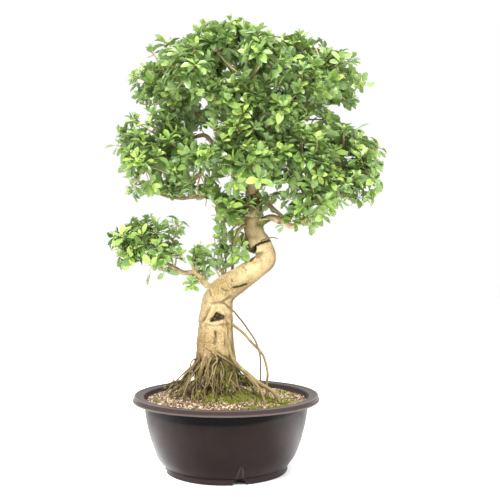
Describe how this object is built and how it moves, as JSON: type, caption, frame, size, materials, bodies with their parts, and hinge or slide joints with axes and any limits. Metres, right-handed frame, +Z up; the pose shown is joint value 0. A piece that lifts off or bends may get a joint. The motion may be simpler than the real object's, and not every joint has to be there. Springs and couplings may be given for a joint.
{
  "type": "potted ficus bonsai",
  "caption": "Indoor ficus bonsai with an S-curved trunk, surface and aerial roots and a domed leafy crown, growing in a round brown plastic training pot.",
  "frame": {"origin": "on the surface the pot stands on, below the middle of the whole outline", "axes": "+Z up, -Y towards the tree's front, +X to the right seen from the front"},
  "size_m": [0.5446, 0.3591, 0.8607],
  "materials": {
    "pot_plastic": "satin",
    "potting_mix": "matte",
    "bark": "matte",
    "ficus_leaf": "satin"
  },
  "bodies": {
    "root": {"pot": "pot_plastic", "soil": "potting_mix", "tree": "bark", "centre_front_spray_1": "ficus_leaf", "centre_front_spray_2": "ficus_leaf", "centre_front_spray_3": "ficus_leaf", "centre_front_spray_4": "ficus_leaf", "crown_spray_1": "ficus_leaf", "crown_spray_2": "ficus_leaf", "crown_spray_3": "ficus_leaf", "crown_spray_4": "ficus_leaf", "crown_spray_5": "ficus_leaf", "crown_spray_6": "ficus_leaf", "crown_spray_7": "ficus_leaf", "crown_spray_8": "ficus_leaf", "crown_spray_9": "ficus_leaf", "crown_spray_10": "ficus_leaf", "crown_spray_11": "ficus_leaf", "crown_spray_12": "ficus_leaf", "crown_spray_13": "ficus_leaf", "crown_spray_14": "ficus_leaf", "crown_spray_15": "ficus_leaf", "crown_spray_16": "ficus_leaf", "crown_spray_17": "ficus_leaf", "crown_spray_18": "ficus_leaf", "crown_spray_19": "ficus_leaf", "crown_top_spray_1": "ficus_leaf", "left_spray_1": "ficus_leaf", "left_spray_2": "ficus_leaf", "left_spray_3": "ficus_leaf", "left_spray_4": "ficus_leaf", "left_spray_5": "ficus_leaf", "lower_left_spray_1": "ficus_leaf", "lower_left_spray_2": "ficus_leaf", "lower_left_spray_3": "ficus_leaf", "middle_back_spray_1": "ficus_leaf", "middle_back_spray_2": "ficus_leaf", "middle_back_spray_3": "ficus_leaf", "middle_front_spray_1": "ficus_leaf", "middle_front_spray_2": "ficus_leaf", "middle_front_spray_3": "ficus_leaf", "right_front_spray_1": "ficus_leaf", "right_front_spray_2": "ficus_leaf", "right_front_spray_3": "ficus_leaf", "right_low_spray_1": "ficus_leaf", "right_spray_1": "ficus_leaf", "right_spray_2": "ficus_leaf", "right_spray_3": "ficus_leaf", "right_spray_4": "ficus_leaf", "right_spray_5": "ficus_leaf", "shoot_inner": "ficus_leaf", "shoot_low": "ficus_leaf", "shoot_neck": "ficus_leaf"}
  },
  "joints": []
}
